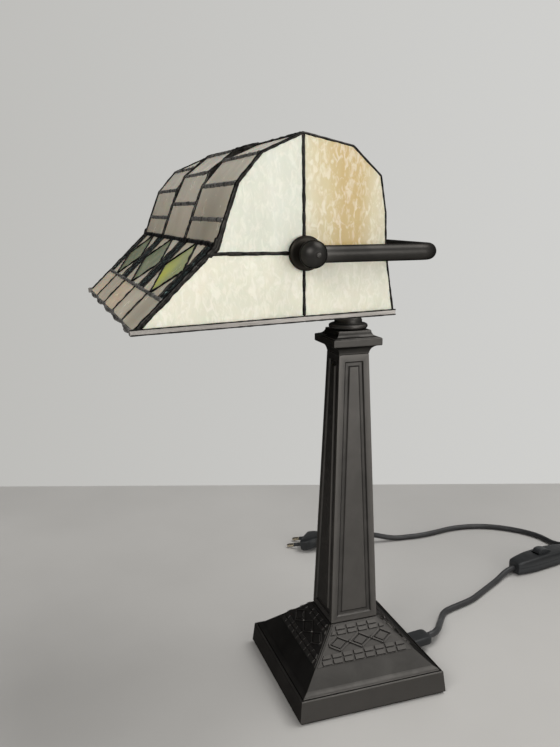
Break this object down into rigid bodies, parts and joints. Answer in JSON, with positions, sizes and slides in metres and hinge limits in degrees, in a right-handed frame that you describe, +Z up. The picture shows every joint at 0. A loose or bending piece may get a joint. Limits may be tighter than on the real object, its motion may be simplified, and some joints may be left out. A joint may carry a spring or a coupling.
{
  "type": "banker desk lamp",
  "caption": "Desk lamp with a leaded-glass trough shade that tips on a bent-tube yoke, on a tapered square column and sloped square base, with a corded in-line switch and flat plug.",
  "frame": {"origin": "middle of the felt under the base, on the desk", "axes": "+X along the shade towards the right hand of a user sitting in front, -Y towards the user, +Y to the back where the cord leaves, +Z up"},
  "size_m": [0.405, 0.6134, 0.4326],
  "materials": {
    "bronze_metal": "satin dark bronze over cast zinc and tube",
    "dark_bronze": "satin black bronze",
    "steel": "zinc-plated steel",
    "cast_iron": "as cast",
    "felt": "pressed felt",
    "solder": "black-patinated solder beads",
    "cream_glass": "opalescent rolled glass with a faint pearly lustre",
    "amber_glass": "opalescent glass with amber streaks",
    "skirt_glass": "opalescent green and cream glass",
    "opal_glass": "opal lamp glass",
    "phenolic": "moulded phenolic",
    "black_plastic": "satin moulded plastic",
    "black_cord": "satin PVC sheath",
    "brass": "turned brass"
  },
  "bodies": {
    "stand": {"base_casting": "bronze_metal", "base_plate": "steel", "base_weight": "cast_iron", "bulb_cap": "brass", "bulb_glass": "opal_glass", "capital": "bronze_metal", "column_shaft": "bronze_metal", "cord_base_to_switch": "black_cord", "cord_coil": "black_cord", "cord_coil_to_plug": "black_cord", "cord_gland": "black_plastic", "cord_switch_to_coil": "black_cord", "felt_pad": "felt", "lampholder": "phenolic", "neck_collar": "bronze_metal", "pivot_ball_left": "bronze_metal", "pivot_ball_right": "bronze_metal", "pivot_disc_left": "dark_bronze", "pivot_disc_right": "dark_bronze", "pivot_nut_left": "brass", "pivot_nut_right": "brass", "plug_body": "black_plastic", "plug_pin_left": "brass", "plug_pin_right": "brass", "stem_tube": "bronze_metal", "switch_lower_shell": "black_plastic", "switch_upper_shell": "black_plastic", "tie_rod": "steel", "yoke_hub": "bronze_metal", "yoke_tube": "bronze_metal"},
    "shade": {"end_came_left": "solder", "end_came_right": "solder", "end_glass_lower_front_left": "cream_glass", "end_glass_lower_front_right": "cream_glass", "end_glass_lower_rear_left": "cream_glass", "end_glass_lower_rear_right": "cream_glass", "end_glass_upper_front_left": "cream_glass", "end_glass_upper_front_right": "cream_glass", "end_glass_upper_rear_left": "amber_glass", "end_glass_upper_rear_right": "amber_glass", "rear_glass_crown": "cream_glass", "rear_glass_lower": "cream_glass", "rear_glass_middle": "cream_glass", "rear_glass_upper": "cream_glass", "rear_glass_wall": "cream_glass", "roof_came": "solder", "roof_glass_lower_far": "cream_glass", "roof_glass_lower_middle": "cream_glass", "roof_glass_lower_near": "cream_glass", "roof_glass_middle_far": "cream_glass", "roof_glass_middle_middle": "cream_glass", "roof_glass_middle_near": "cream_glass", "roof_glass_upper_far": "cream_glass", "roof_glass_upper_middle": "cream_glass", "roof_glass_upper_near": "cream_glass", "skirt_diamond_glass_far": "skirt_glass", "skirt_diamond_glass_middle": "skirt_glass", "skirt_diamond_glass_near": "skirt_glass", "skirt_lower_glass": "cream_glass"},
    "rocker": {"switch_rocker": "black_plastic"}
  },
  "joints": [
    {"name": "shade_tilt", "type": "hinge", "parent": "stand", "child": "shade", "pos_m": [0, -0.084, 0.364], "axis": [1, 0, 0], "range_deg": [-60, 75]},
    {"name": "switch_rocker", "type": "hinge", "parent": "stand", "child": "rocker", "pos_m": [-0.103, 0.2827, 0.0146], "axis": [-0.986, -0.1668, 0], "range_deg": [-20, 0]}
  ]
}
